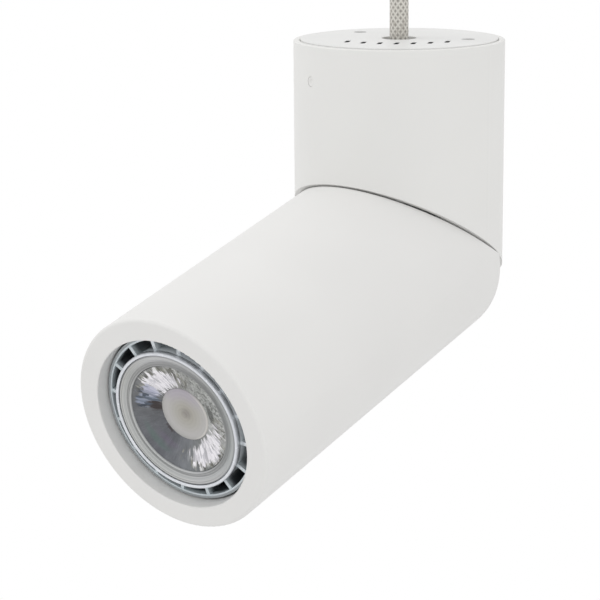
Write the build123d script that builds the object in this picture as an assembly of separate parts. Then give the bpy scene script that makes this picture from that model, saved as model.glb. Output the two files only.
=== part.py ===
from build123d import *
import math
import os

# Surface mounted ceiling spotlight: a fixed can under the ceiling and a tilting can below it.
# Millimetres, +Z up. The origin is the centre of the plate's ceiling face, and light leaves
# towards -Y. The tilting can is drawn hanging straight down from the point where the two
# cans' axes cross, and is then swung up to its aim, where its slanted end closes on the other's.

# ---------------------------------------------------------------- cans
can_r = 32.5              # outer radius of both cans
can_wall = 2.0            # wall of both cans
rim_drop = 0.3            # upper rim below the ceiling, so that the plate alone bears on it
upper_slant = 30.5        # slope of the upper can's cut, from level, in degrees
axes_cross = 66.6         # from the upper rim down to the crossing of the two axes
tip_drop = 12.6           # upper can's lowest point below the crossing
aim_tilt = 75.4           # swing of the lower can from straight down, in degrees
cut_gap = 0.6             # between the two slanted cuts at full swing
straight_gap = 0.8        # between the two cans when the lower one hangs straight
lower_front = 117.2       # from the axes' crossing to the lower can's front face
lower_rear = 7.4          # from the axes' crossing to the lower can's square end
mouth_gap = 0.55          # radial, from the lamp to the front opening
mouth_depth = 26.0        # length of the thick front ring
face_round = 1.0          # rounding of the lower can's front edge
edge_round = 0.4          # rounding of the other rims

# ---------------------------------------------------------------- ceiling end
plate_t = 1.5
plate_gap = 0.15          # from the plate's edge to the upper can
cable_hole_r = 5.35
boss_r = 8.0              # hollow stem that the upper can turns on
boss_length = 8.0         # from the ceiling to the stem's lower end
turn_clearance = 0.06     # radial, of the turning disc on the stem
vent_count = 7
vent_pitch = 5.05
vent_w = 1.5
vent_length = 5.4
vent_arc_r = 25.5         # the vents follow this arc
vent_arc_back = 10.0      # how far the arc's centre lies behind the plate's
vent_side = -59.2         # bearing of the vents from the centre, in degrees
vent_lean = -7.0          # turn of each vent from that bearing
fixing_r = 2.1
fixing_spacing = 40.0
fixing_back = 8.0         # fixing holes behind the centre
washer_t = 0.8
washer_r = 11.5
ring_t = 1.0
ring_r = 10.5
ring_groove = 0.6         # depth of the stem's groove

# ---------------------------------------------------------------- turning disc and wiring
disc_t = 1.5
disc_gap = 2.0            # from the turning disc to the can's bore
leg_w = 14.0
leg_t = 1.5
leg_inset = 1.0           # from a leg's outer face to the can's bore
leg_drop = 20.0
leg_side = -111.2         # bearing of one of the two legs, in degrees
set_screw_r = 1.5
set_screw_drop = 10.8     # below the upper rim
set_socket = 0.75         # radius of a set screw's socket
set_screw_length = 4.4
hole_gap = 0.05           # radial, of a screw in its hole
hex_socket = 1.0          # radius of the other screws' sockets
screw_r = 1.5             # small machine screws
head_r = 2.7
head_t = 1.8
foot_t = 2.5
foot_gap = 4.5            # from the arm's foot to the bore, behind
arm_w = 12.0
arm_t = 3.0
arm_screw_side = 4.6
pillar_r = 2.5
pillar_gap = 4.6          # from a pillar's middle to the bore
cover_t = 1.2
cover_gap = 0.3           # from the wiring cover to the bore
cover_lip = 2.0           # from the wiring cover down to the upper can's front edge
cover_slot_gap = 0.5
grommet_wall = 1.3
grommet_lip = 1.0
block_w = 20.0
block_washer_gap = 0.5    # from the terminal block to the spring washer
terminal_inset = 2.5      # terminal screws from the block's faces
block_h = 13.0
block_gap = 6.0           # from the terminal block's front face to the bore
block_poles = 3
pole_pitch = 6.0
wire_r = 0.9
wire_hole_r = 1.3
terminal_screw_r = 1.3
wire_drop = 7.0           # wire holes below the top of the block
lead_r = 2.9              # supply lead with its woven sleeve
lead_inside = 12.0        # lead's end below the ceiling, on the turning axis
lead_sleeve = 108.0       # sleeve's end above the ceiling
core_r = 1.1
core_length = 30.0        # bare cores beyond the sleeve
core_side = 1.45
clamp_over_cover = 12.7
lead_over_cover = 8.0
clamp_h = 7.0
clamp_w = 17.0
clamp_screw_side = 5.8
joint_gap = 0.3           # between lead lengths that turn against each other

# ---------------------------------------------------------------- tilting joint
knuckle_r = 3.5
pin_r = 2.0
pin_clearance = 0.05      # radial, of the bolt in the knuckle
tilt_washer_t = 0.6
tilt_washer_r = 3.8
ear_t = 3.0
ear_r = 4.5
bolt_head_r = 3.5
bolt_head_t = 2.6
nut_t = 3.2
bolt_tail = 0.8
cap_recess = 1.0          # rear cap's slanted face inside the can's cut
cap_t = 3.0
cap_washer_gap = 0.2      # from the rear cap to the tilting washers
cap_gap = 0.1             # radial, of the cap in the can
link_r = 2.0              # flexible lead past the tilting joint
link_gap = 1.0            # from the lower grommet to the bolt's head
link_tail = 5.0           # flexible lead's length inside the tilting can
link_clear = 2.6          # lead's ends on each side of the tilting axis
cap_pin_r = 1.5
cap_pin_bearing = 35.0    # from the can's rear line, in degrees
cap_pin_length = 6.0

# ---------------------------------------------------------------- lampholder
post_r = 2.6
post_inset = 10.5         # from a post's middle to the bore
post_gap = 0.3            # from a post to the rear cap's fold
screw_length = 8.0        # small screws, under the head
lead_bend = 5.0           # radius of the cores' bends
lead_straight = 20.0      # cores' run below the rear cap
lead_rise = 12.0          # cores' run above the lampholder
carrier_t = 1.2
carrier_inset = 3.0       # from the carrier's ends to the bore
carrier_gap = 7.0         # half the opening for the lampholder's leads
carrier_half = 14.0       # half the carrier's width
holder_w = 28.0
holder_l = 18.0
holder_h = 23.0
holder_round = 3.0
holder_wall = 3.0         # front wall behind which the pins lock
holder_gap = 0.5          # from the holder to the lamp's base
holder_cavity = 6.2
holder_screw_side = 11.3
contact_t = 0.6
lamp_turn = 20.0          # turn that frees the lamp's pins, in degrees

# ---------------------------------------------------------------- lamp
lamp_pin_side = 5.0       # half the 10 mm between the lamp's pins
lamp_neck_r = 1.4
lamp_head_r = 2.5
lamp_head_t = 2.5
lamp_pin_length = 7.5
pin_play = 0.25           # pins in the holder's slots
lamp_r = 25.4
lamp_ring_t = 1.2         # lamp's outer ring
lamp_ring_h = 6.5
lamp_ring_depth = 4.4     # below the can's face
bezel_depth = 2.1         # below the can's face
bezel_r = 21.2
bezel_w = 1.0
bezel_h = 1.7
cup_lip = 0.2             # from the cup's outside to the bezel's
cup_depth = 20.0          # from the bezel's front to the cup's floor
cup_floor = 2.0
fin_count = 16
fin_t = 1.1
fin_rise = 1.4            # fins' height where the cup meets the cone
cone_length = 12.0
cone_end_r = 12.5
cone_wall = 1.2
base_end_r = 11.0
base_length = 12.5
base_wall = 1.5
lens_gap = 0.15           # radial, of the lens in the bezel
lens_edge = 2.5
lens_step = 3.45          # width of the lens's edge, outside its dish
lens_dish = 4.4           # from the bezel's front to the lens's middle
lens_eye_r = 8.0
lens_back_r = 9.5
lens_back_gap = 1.2       # from the lens's back to the light source
cob_r = 5.5
cob_t = 1.0
led_board_r = 13.0
led_board_t = 1.6
driver_w = 14.0
driver_t = 1.6
driver_gap = 1.5          # from the driver to the lamp's floor
coil_w = 8.0
coil_h = 4.5
capacitor_r = 2.6
capacitor_l = 9.0
bridge_w = 3.5
bridge_l = 5.0

# ---------------------------------------------------------------- worked out
bore_r = can_r - can_wall
mouth_r = lamp_r + mouth_gap
disc_r = bore_r - disc_gap
pillar_side = bore_r - pillar_gap
block_front = bore_r - block_gap
block_l = block_front - washer_r - block_washer_gap
post_side = bore_r - post_inset
carrier_r = bore_r - carrier_inset
cup_r = bezel_r - cup_lip
cup_bore = bezel_r - bezel_w
cup_middle = (cup_r + cup_bore) / 2
lens_r = cup_bore - lens_gap
lens_funnel_r = lens_r - lens_step
rim_z = -rim_drop
cross_z = rim_z - axes_cross
tip_z = cross_z - tip_drop
upper_cut_z = tip_z + can_r * math.tan(math.radians(upper_slant))
cover_low = 2 * upper_cut_z - tip_z + cover_lip
cover_top = cover_low + cover_t
clamp_low = cover_top + clamp_over_cover
clamp_mid = clamp_low + clamp_h / 2
lower_slant = aim_tilt - upper_slant
upper_cut_off = (upper_cut_z - cross_z) * math.cos(math.radians(upper_slant))
lower_cut_z = (upper_cut_off - cut_gap) / math.cos(math.radians(lower_slant))
half_tilt = math.radians(aim_tilt / 2)
pin_off = (cross_z + lower_rear - tip_z + straight_gap) / (2 * math.sin(half_tilt))
pin_y = pin_off * math.cos(half_tilt)
pin_z = cross_z - pin_off * math.sin(half_tilt)
pin_local_z = pin_off * math.sin(half_tilt)
disc_top = -plate_t - washer_t
disc_low = disc_top - disc_t
ear_in = arm_w / 2 + tilt_washer_t
ear_out = ear_in + ear_t
link_bore_r = link_r + grommet_wall
link_side = ear_out + bolt_head_t + link_gap + link_bore_r + grommet_lip
foot_rear = bore_r - foot_gap
cap_top = pin_local_z - tilt_washer_r - cap_washer_gap
cap_low = cap_top - cap_t
cap_slant_z = lower_cut_z - (cap_recess + cap_t) / math.cos(math.radians(lower_slant))
cap_fold_y = (cap_low - cap_slant_z) / math.tan(math.radians(lower_slant))
post_back = cap_fold_y + post_r + post_gap
face_z = -lower_front
bezel_z = face_z + bezel_depth
lamp_ring_z = face_z + lamp_ring_depth
cup_floor_z = bezel_z + cup_depth
cone_z = cup_floor_z + cup_floor
base_z = cone_z + cone_length
holder_low = base_z + base_length + holder_gap
lamp_end_z = holder_low - holder_gap
holder_top = holder_low + holder_h
far = 4 * lower_front     # half size of the cutting blocks

LOWER = Pos(0, 0, cross_z) * Rot(-aim_tilt, 0, 0)


def block(x0, x1, y0, y1, z0, z1):
    centre = Pos((x0 + x1) / 2, (y0 + y1) / 2, (z0 + z1) / 2)
    return centre * Box(x1 - x0, y1 - y0, z1 - z0)


def rod(r, z0, z1, x=0.0, y=0.0):
    return Pos(x, y, (z0 + z1) / 2) * Cylinder(r, z1 - z0)


def tube(r_out, r_in, z0, z1, x=0.0, y=0.0):
    return rod(r_out, z0, z1, x, y) - rod(r_in, z0 - 1, z1 + 1, x, y)


def cross_rod(r, x0, x1, y, z):
    return Pos((x0 + x1) / 2, y, z) * Rot(0, 90, 0) * Cylinder(r, x1 - x0)


def along_y(r, y0, y1, x, z):
    return Pos(x, (y0 + y1) / 2, z) * Rot(90, 0, 0) * Cylinder(r, y1 - y0)


def radial(bearing, r0, r1, z, radius):
    """A round bar on a bearing, from radius r0 to r1."""
    bar = Pos((r0 + r1) / 2, 0, z) * Rot(0, 90, 0) * Cylinder(radius, r1 - r0)
    return Rot(0, 0, bearing) * bar


def under_upper_cut(lift=0.0):
    """Everything below the upper can's slanted cut, raised along the axis by lift."""
    return Pos(0, 0, upper_cut_z + lift) * Rot(-upper_slant, 0, 0) * Pos(0, 0, -far) * Box(
        2 * far, 2 * far, 2 * far)


def over_lower_ends(inset, end_z):
    """Everything beyond the lower can's slanted cut, moved in by inset, and beyond end_z."""
    slanted = Pos(0, 0, lower_cut_z) * Rot(lower_slant, 0, 0) * Pos(0, 0, far - inset)
    square = Pos(0, 0, end_z + far)
    return slanted * Box(2 * far, 2 * far, 2 * far) + square * Box(2 * far, 2 * far, 2 * far)


def wire(points, radii, r):
    path = FilletPolyline(*points, radius=radii)
    return sweep(Plane(origin=path @ 0, z_dir=path % 0) * Circle(r), path=path)


# ---------------------------------------------------------------- ceiling end
def ceiling_plate():
    plate = rod(bore_r - plate_gap, -plate_t, 0)
    stem = rod(boss_r, -boss_length, -plate_t)
    groove_top = disc_low - washer_t
    groove = tube(boss_r + 1, boss_r - ring_groove, groove_top - ring_t, groove_top)
    body = plate + stem - rod(cable_hole_r, -boss_length - 1, 1) - groove
    for i in range(vent_count):
        side = (i - (vent_count - 1) / 2) * vent_pitch
        out = math.sqrt(vent_arc_r ** 2 - side ** 2) - vent_arc_back
        slot = extrude(SlotOverall(vent_length, vent_w), plate_t + 2)
        place = Rot(0, 0, vent_side) * Pos(out, side, -plate_t - 1) * Rot(0, 0, vent_lean)
        body -= place * slot
    for x in (-fixing_spacing / 2, fixing_spacing / 2):
        body -= rod(fixing_r, -plate_t - 1, 1, x, fixing_back)
    return body


def turning_washer():
    return tube(washer_r, boss_r + turn_clearance, disc_top, -plate_t)


def spring_washer():
    return tube(washer_r, boss_r + turn_clearance, disc_low - washer_t, disc_low)


def retaining_ring():
    top = disc_low - washer_t
    ring = tube(ring_r, boss_r - ring_groove + hole_gap, top - ring_t, top)
    return ring - block(-1.5, 1.5, 0, ring_r + 1, top - ring_t - 1, top + 1)


def supply_lead():
    return rod(lead_r, -lead_inside, lead_sleeve)


def lead_cores():
    cores = []
    for turn in (0, 120, 240):
        a = math.radians(turn)
        x = core_side * math.cos(a)
        y = core_side * math.sin(a)
        cores.append(rod(core_r, lead_sleeve, lead_sleeve + core_length, x, y))
    return Compound(children=cores)


# ---------------------------------------------------------------- turning can
def upper_shell():
    can = tube(can_r, bore_r, tip_z - 1, rim_z) - under_upper_cut()
    top = can.faces().sort_by(Axis.Z)[-1]
    can = fillet(top.edges(), edge_round)
    for turn in (leg_side, leg_side + 180):
        can -= radial(turn, bore_r - 1, can_r + 1, rim_z - set_screw_drop, set_screw_r + hole_gap)
    return can


def turning_disc():
    disc = tube(disc_r, boss_r + turn_clearance, disc_low, disc_top)
    leg_out = bore_r - leg_inset
    for turn in (leg_side, leg_side + 180):
        web = block(disc_r - 2, leg_out, -leg_w / 2, leg_w / 2, disc_low, disc_top)
        leg = block(leg_out - leg_t, leg_out, -leg_w / 2, leg_w / 2, disc_top - leg_drop, disc_top)
        disc += Rot(0, 0, turn) * (web + leg)
    for turn in (leg_side, leg_side + 180):
        disc -= radial(turn, leg_out - leg_t - 1, bore_r, rim_z - set_screw_drop, set_screw_r + hole_gap)
    for x, y in arm_screw_places() + pillar_places() + [block_screw_place()]:
        disc -= rod(screw_r + hole_gap, disc_low - 1, disc_top + 1, x, y)
    return disc


def set_screws():
    screws = []
    for turn in (leg_side, leg_side + 180):
        outer = can_r - edge_round
        z = rim_z - set_screw_drop
        screw = radial(turn, outer - set_screw_length, outer, z, set_screw_r)
        screws.append(screw - radial(turn, outer - set_screw_length / 2, outer + 1, z, set_socket))
    return Compound(children=screws)


def arm_screw_places():
    y = (pin_y + arm_t / 2 + foot_rear) / 2
    return [(-arm_screw_side, y), (arm_screw_side, y)]


def pillar_places():
    return [(-pillar_side, 0.0), (pillar_side, 0.0)]


def block_screw_place():
    return (pole_pitch / 2, -block_front + block_l / 2)


def hinge_arm():
    half = arm_w / 2
    rear = pin_y + arm_t / 2
    foot = block(-half - 2, half + 2, rear - arm_t, foot_rear, disc_low - foot_t, disc_low)
    strap = block(-half, half, rear - arm_t, rear, pin_z, disc_low)
    knuckle = cross_rod(knuckle_r, -half, half, pin_y, pin_z)
    arm = foot + strap + knuckle - cross_rod(pin_r + pin_clearance, -half - 1, half + 1, pin_y, pin_z)
    for x, y in arm_screw_places():
        arm -= rod(screw_r + hole_gap, disc_low - foot_t - 1, disc_low + 1, x, y)
    for x in (-clamp_screw_side, clamp_screw_side):
        notch = along_y(screw_r + hole_gap, pin_y - arm_t, pin_y + arm_t, x, clamp_mid)
        arm -= notch
    return arm


def screw_up(x, y, head_top, tip):
    """A screw whose head hangs under head_top and whose shank ends at tip."""
    head = rod(head_r, head_top - head_t, head_top, x, y)
    drive = rod(hex_socket, head_top - head_t - 1, head_top - head_t / 2, x, y)
    return head + rod(screw_r, head_top, tip, x, y) - drive


def arm_screws():
    low = disc_low - foot_t
    return Compound(children=[screw_up(x, y, low, disc_top) for x, y in arm_screw_places()])


def terminal_block():
    top = disc_low
    front = -block_front
    body = block(-block_w / 2, block_w / 2, front, front + block_l, top - block_h, top)
    for i in range(block_poles):
        x = (i - (block_poles - 1) / 2) * pole_pitch
        body -= along_y(wire_hole_r, front - 1, front + block_l + 1, x, top - wire_drop)
        for y in terminal_rows():
            body -= rod(terminal_screw_r + hole_gap, top - block_h - 1, top - wire_drop, x, y)
    x, y = block_screw_place()
    return body - rod(screw_r + hole_gap, top - block_h - 1, top + 1, x, y) - rod(
        head_r + hole_gap, top - block_h - 1, top - block_h + head_t, x, y)


def terminal_rows():
    return (-block_front + terminal_inset, -block_front + block_l - terminal_inset)


def terminal_screws():
    screws = []
    for i in range(block_poles):
        x = (i - (block_poles - 1) / 2) * pole_pitch
        for y in terminal_rows():
            low = disc_low - block_h + 1
            screw = rod(terminal_screw_r, low, disc_low - wire_drop - wire_r - 0.3, x, y)
            slot = block(x - 3, x + 3, y - 0.3, y + 0.3, low - 1, low + 0.8)
            screws.append(screw - slot)
    return Compound(children=screws)


def block_screw():
    x, y = block_screw_place()
    return screw_up(x, y, disc_low - block_h + head_t, disc_top)


def cord_clamp():
    half = clamp_w / 2
    body = block(-half, half, -lead_r - 2, pin_y - arm_t / 2, clamp_low, clamp_low + clamp_h)
    body -= rod(lead_r + hole_gap, clamp_low - 1, clamp_low + clamp_h + 1)
    for x in (-clamp_screw_side, clamp_screw_side):
        body -= along_y(screw_r + hole_gap, -lead_r - 3, pin_y, x, clamp_mid)
    return body


def clamp_screws():
    screws = []
    front = -lead_r - 2
    for x in (-clamp_screw_side, clamp_screw_side):
        shank = along_y(screw_r, front, pin_y + arm_t / 2, x, clamp_mid)
        head = along_y(head_r, front - head_t, front, x, clamp_mid)
        drive = along_y(hex_socket, front - head_t - 1, front - head_t / 2, x, clamp_mid)
        screws.append(shank + head - drive)
    return Compound(children=screws)


def lead_tail():
    return rod(lead_r, clamp_low - 0.5, -lead_inside - joint_gap)


def inner_leads():
    """Cores from the end of the supply lead up into the back of the terminal block."""
    start = clamp_low - 0.8
    wires = []
    for i in range(block_poles):
        k = i - (block_poles - 1) / 2
        back = -block_front + block_l
        turn_y = (back - lead_r - 2 - head_t) / 2
        points = [
            (k * 1.9, 0, start),
            (k * 1.9, 0, start - 6),
            (k * pole_pitch, turn_y, start - 6),
            (k * pole_pitch, turn_y, disc_low - wire_drop),
            (k * pole_pitch, back - 2, disc_low - wire_drop),
        ]
        wires.append(wire(points, 1.4, wire_r))
    return Compound(children=wires)


def onward_leads():
    """Two cores from the front of the terminal block to the flexible lead."""
    wires = []
    for k, side in ((-1, -1.0), (0, 1.0)):
        x = k * pole_pitch
        front = -block_front - 2
        low = cover_top + lead_over_cover
        points = [
            (x, -block_front + 2, disc_low - wire_drop),
            (x, front, disc_low - wire_drop),
            (x, front, low),
            (-link_side + side, -block_front + block_l, low),
            (-link_side + side, pin_y - 4, low),
            (-link_side + side, pin_y, low - 3.2),
        ]
        wires.append(wire(points, 1.2, wire_r))
    return Compound(children=wires)


def wiring_cover():
    low = cover_low - 1
    top = cover_top + 1
    cover = rod(bore_r - cover_gap, cover_low, cover_top)
    half = arm_w / 2 + cover_slot_gap
    depth = arm_t / 2 + cover_slot_gap
    cover -= block(-half, half, pin_y - depth, pin_y + depth, low, top)
    cover -= rod(link_bore_r, low, top, -link_side, pin_y)
    for x, y in pillar_places():
        cover -= rod(screw_r + hole_gap, low, top, x, y)
    return cover


def cover_pillars():
    pillars = []
    for x, y in pillar_places():
        stud = rod(screw_r, disc_low, disc_top, x, y)
        hole = rod(screw_r + hole_gap, cover_top - 1, cover_top + screw_length, x, y)
        pillars.append(rod(pillar_r, cover_top, disc_low, x, y) + stud - hole)
    return Compound(children=pillars)


def cover_screws():
    tip = cover_low + screw_length
    return Compound(children=[screw_up(x, y, cover_low, tip) for x, y in pillar_places()])


def grommet(z0, z1):
    """A rubber ring with a lip on each side of a sheet, from z0 to z1, round the flexible lead."""
    r_in = link_r + hole_gap
    body = rod(link_bore_r, z0, z1)
    body += rod(link_bore_r + grommet_lip, z0 - grommet_lip, z0)
    body += rod(link_bore_r + grommet_lip, z1, z1 + grommet_lip)
    return Pos(-link_side, pin_y, 0) * (body - rod(r_in, z0 - 2 * grommet_lip, z1 + 2 * grommet_lip))


def link_grommet():
    return grommet(cover_low, cover_top)


def link_lead_upper():
    return rod(link_r, pin_z + link_clear, cover_top + 4, -link_side, pin_y)


# ---------------------------------------------------------------- tilting can, drawn hanging
def lower_shell():
    can = tube(can_r, mouth_r, face_z, lower_rear + 1)
    can -= rod(bore_r, face_z + mouth_depth, lower_rear + 2)
    can -= over_lower_ends(0, lower_rear)
    face = can.faces().sort_by(Axis.Z)[0]
    rims = face.edges().sort_by(SortBy.LENGTH)
    can = fillet(rims[-1], face_round)
    mouth = can.faces().sort_by(Axis.Z)[0].edges().sort_by(SortBy.LENGTH)[0]
    can = fillet(mouth, edge_round)
    for side in (-1, 1):
        can -= radial(90 + side * cap_pin_bearing, bore_r - 1, can_r + 1, cap_mid(), cap_pin_r + hole_gap)
    return can


def cap_mid():
    return cap_top - cap_t / 2


def rear_cap():
    r = bore_r - cap_gap
    deep = lower_cut_z - 2 * can_r * math.tan(math.radians(lower_slant))
    outer = rod(r, deep, lower_rear) - over_lower_ends(cap_recess, cap_top)
    inner = rod(r + 1, deep - 1, lower_rear) - over_lower_ends(cap_recess + cap_t, cap_low)
    cap = outer - inner
    for side in (-1, 1):
        x0 = min(side * ear_in, side * ear_out)
        neck = block(x0, x0 + ear_t, pin_y - ear_r, pin_y + ear_r, cap_mid(), pin_local_z)
        cap += neck + cross_rod(ear_r, x0, x0 + ear_t, pin_y, pin_local_z)
        z = cap_mid()
        cap -= radial(90 + side * cap_pin_bearing, r - cap_pin_length, r + 1, z, cap_pin_r + hole_gap)
    cap -= cross_rod(pin_r + hole_gap, -ear_out - 1, ear_out + 1, pin_y, pin_local_z)
    cap -= rod(link_bore_r, cap_low - 1, cap_top + 1, -link_side, pin_y)
    for x, y in post_places():
        cap -= rod(screw_r + hole_gap, cap_low - 1, cap_top + 1, x, y)
        cap -= rod(head_r + hole_gap, cap_top - head_t, cap_top + 1, x, y)
    return cap


def cap_pins():
    pins = []
    r = can_r - edge_round
    for side in (-1, 1):
        bearing = 90 + side * cap_pin_bearing
        pin = radial(bearing, r - cap_pin_length, r, cap_mid(), cap_pin_r)
        pins.append(pin - radial(bearing, r - 1.5, r + 1, cap_mid(), cap_pin_r / 2))
    return Compound(children=pins)


def post_places():
    return [(-post_side, post_back), (post_side, post_back)]


def posts_for_holder():
    posts = []
    for x, y in post_places():
        post = rod(post_r, holder_top + carrier_t, cap_low, x, y)
        post -= rod(screw_r + hole_gap, cap_low - screw_length, cap_low + 1, x, y)
        posts.append(post - rod(screw_r + hole_gap, holder_top, holder_top + screw_length + 1, x, y))
    return Compound(children=posts)


def cap_screws():
    screws = []
    for x, y in post_places():
        head = rod(head_r, cap_top - head_t, cap_top, x, y)
        shank = rod(screw_r, cap_top - head_t - screw_length, cap_top - head_t, x, y)
        screws.append(head + shank - rod(hex_socket, cap_top - head_t / 2, cap_top + 1, x, y))
    return Compound(children=screws)


def holder_carrier():
    low = holder_top
    plate = rod(carrier_r, low, low + carrier_t)
    plate = plate & block(-far, far, -carrier_half, carrier_half, low - 1, low + carrier_t + 1)
    plate -= block(-carrier_gap, carrier_gap, -4, 4, low - 1, low + carrier_t + 1)
    for x, y in post_places() + holder_screw_places():
        plate -= rod(screw_r + hole_gap, low - 1, low + carrier_t + 1, x, y)
    return plate


def carrier_screws():
    tip = holder_top + screw_length
    return Compound(children=[screw_up(x, y, holder_top, tip) for x, y in post_places()])


def holder_screw_places():
    return [(-holder_screw_side, 0.0), (holder_screw_side, 0.0)]


def arc_slot(half_width, z0, z1, side):
    """A slot round the lamp's axis, from the locked place to the free one."""
    start = 0 if side > 0 else 180
    arc = CenterArc((0, 0), lamp_pin_side, start - lamp_turn, lamp_turn)
    return Pos(0, 0, z0) * extrude(SlotArc(arc, 2 * half_width), z1 - z0)


def lampholder():
    body = extrude(RectangleRounded(holder_w, holder_l, holder_round), holder_h)
    body = Pos(0, 0, holder_low) * body
    wall_top = holder_low + holder_wall
    for side in (-1, 1):
        start = 0 if side > 0 else 180
        a = math.radians(start - lamp_turn)
        x = lamp_pin_side * math.cos(a)
        y = lamp_pin_side * math.sin(a)
        body -= arc_slot(lamp_neck_r + pin_play, holder_low - 1, wall_top, side)
        body -= rod(lamp_head_r + pin_play, holder_low - 1, wall_top, x, y)
        body -= arc_slot(lamp_head_r + pin_play, wall_top, wall_top + holder_cavity, side)
        body -= rod(wire_r + hole_gap, wall_top, holder_top + 1, side * lamp_pin_side, 0)
    for x, y in holder_screw_places():
        body -= rod(screw_r + hole_gap, holder_low - 1, holder_top + 1, x, y)
        body -= rod(screw_r + 1, holder_low - 1, holder_low + head_t, x, y)
    return body


def holder_contacts():
    """A spring leaf at the back of each pin's cavity."""
    contacts = []
    z = holder_low + holder_wall + holder_cavity
    for side in (-1, 1):
        leaf = arc_slot(lamp_head_r, z - contact_t, z, side)
        contacts.append(leaf - rod(wire_r + hole_gap, z - 1, z + 1, side * lamp_pin_side, 0))
    return Compound(children=contacts)


def holder_screws():
    screws = []
    for x, y in holder_screw_places():
        head = rod(screw_r + 0.9, holder_low + 0.2, holder_low + head_t, x, y)
        shank = rod(screw_r, holder_low + head_t, holder_top + carrier_t, x, y)
        screws.append(head + shank - rod(hex_socket, holder_low - 1, holder_low + 1, x, y))
    return Compound(children=screws)


def holder_leads():
    """Cores from the flexible lead to the back of the lampholder."""
    wires = []
    z = holder_low + holder_wall + holder_cavity - contact_t
    for side in (-1, 1):
        x = side * lamp_pin_side
        points = [
            (-link_side + side, pin_y, cap_low - link_tail - joint_gap),
            (-link_side + side, pin_y, cap_low - lead_straight),
            (x, 0, holder_top + lead_rise),
            (x, 0, z),
        ]
        wires.append(wire(points, lead_bend, wire_r))
    return Compound(children=wires)


def cap_grommet():
    return grommet(cap_low, cap_top)


def link_lead_lower():
    return rod(link_r, cap_low - link_tail, pin_local_z - link_clear, -link_side, pin_y)


def tilt_washers():
    washers = []
    for side in (-1, 1):
        x0 = min(side * arm_w / 2, side * ear_in)
        washer = cross_rod(tilt_washer_r, x0, x0 + tilt_washer_t, pin_y, pin_local_z)
        washers.append(washer - cross_rod(pin_r + hole_gap, x0 - 1, x0 + 2, pin_y, pin_local_z))
    return Compound(children=washers)


def hinge_bolt():
    y, z = pin_y, pin_local_z
    shank = cross_rod(pin_r, -ear_out, ear_out + nut_t + bolt_tail, y, z)
    head = cross_rod(bolt_head_r, -ear_out - bolt_head_t, -ear_out, y, z)
    drive = cross_rod(hex_socket * 1.4, -ear_out - bolt_head_t - 1, -ear_out - bolt_head_t / 2, y, z)
    return shank + head - drive


def lock_nut():
    nut = Pos(ear_out, pin_y, pin_local_z) * Rot(0, 90, 0) * extrude(RegularPolygon(bolt_head_r, 6), nut_t)
    return nut - cross_rod(pin_r + hole_gap, ear_out - 1, ear_out + nut_t + 1, pin_y, pin_local_z)


# ---------------------------------------------------------------- lamp, on the tilting can's axis
def lamp_heatsink():
    outline = Polyline(
        (0, cup_floor_z),
        (cup_bore, cup_floor_z),
        (cup_bore, bezel_z + bezel_h),
        (cup_r, bezel_z + bezel_h),
        (cup_r, cone_z),
        (cone_end_r, base_z),
        (cone_end_r - cone_wall, base_z),
        (cup_r - cone_wall, cone_z),
        (0, cone_z),
        close=True,
    )
    body = revolve(Plane.XZ * make_face(outline), Axis.Z)
    ring = tube(lamp_r, lamp_r - lamp_ring_t, lamp_ring_z, lamp_ring_z + lamp_ring_h)
    fin_outer = lamp_r - lamp_ring_t / 2
    outline = Polyline(
        (cup_middle, lamp_ring_z + 0.1),
        (fin_outer, lamp_ring_z + 0.1),
        (fin_outer, lamp_ring_z + lamp_ring_h),
        (cup_r + fin_rise, cone_z),
        (cone_end_r + 1.0, base_z - 0.3),
        (cone_end_r - 0.5, base_z - 0.3),
        (cup_middle, cone_z - 1),
        close=True,
    )
    fin = extrude(Plane.XZ * make_face(outline), fin_t / 2, both=True)
    fins = [Rot(0, 0, (i + 0.5) * 360 / fin_count) * fin for i in range(fin_count)]
    return body.fuse(ring, *fins)


def lamp_bezel():
    ring = tube(bezel_r, bezel_r - bezel_w, bezel_z, bezel_z + bezel_h)
    rims = ring.faces().sort_by(Axis.Z)[0].edges()
    return fillet(rims, edge_round)


def lamp_lens():
    """A dished optic: a stepped edge, a funnel and a flat eye in the middle."""
    front = bezel_z + 0.6
    eye = bezel_z + lens_dish
    back = cup_floor_z - led_board_t - cob_t - lens_back_gap
    outline = Polyline(
        (0, eye),
        (lens_eye_r, eye),
        (lens_funnel_r, front + 0.9),
        (lens_funnel_r + 0.8, front + 0.9),
        (lens_funnel_r + 0.8, front),
        (lens_r, front),
        (lens_r, front + lens_edge),
        (lens_r - 1.2, front + lens_edge),
        (lens_back_r, back),
        (0, back),
        close=True,
    )
    return revolve(Plane.XZ * make_face(outline), Axis.Z)


def lamp_cob():
    z = cup_floor_z - led_board_t
    return rod(cob_r, z - cob_t, z)


def led_board():
    return rod(led_board_r, cup_floor_z - led_board_t, cup_floor_z)


def lamp_driver():
    """A circuit board with three parts on it, in the lamp's neck."""
    z0 = cone_z + driver_gap
    z1 = lamp_end_z - base_wall - 0.3
    board = block(-driver_w / 2, driver_w / 2, -driver_t / 2, driver_t / 2, z0, z1)
    coil = block(-coil_w / 2, coil_w / 2, driver_t / 2, driver_t / 2 + coil_h, z0 + 2, z0 + 2 + coil_w)
    capacitor = Pos(2, -driver_t / 2 - capacitor_r, (z0 + z1) / 2) * Cylinder(capacitor_r, capacitor_l)
    x1 = 2 - capacitor_r - 0.5
    bridge = block(x1 - bridge_w, x1, -driver_t, -driver_t / 2, z0 + 2, z0 + 2 + bridge_l)
    return board + coil + capacitor + bridge


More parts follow.
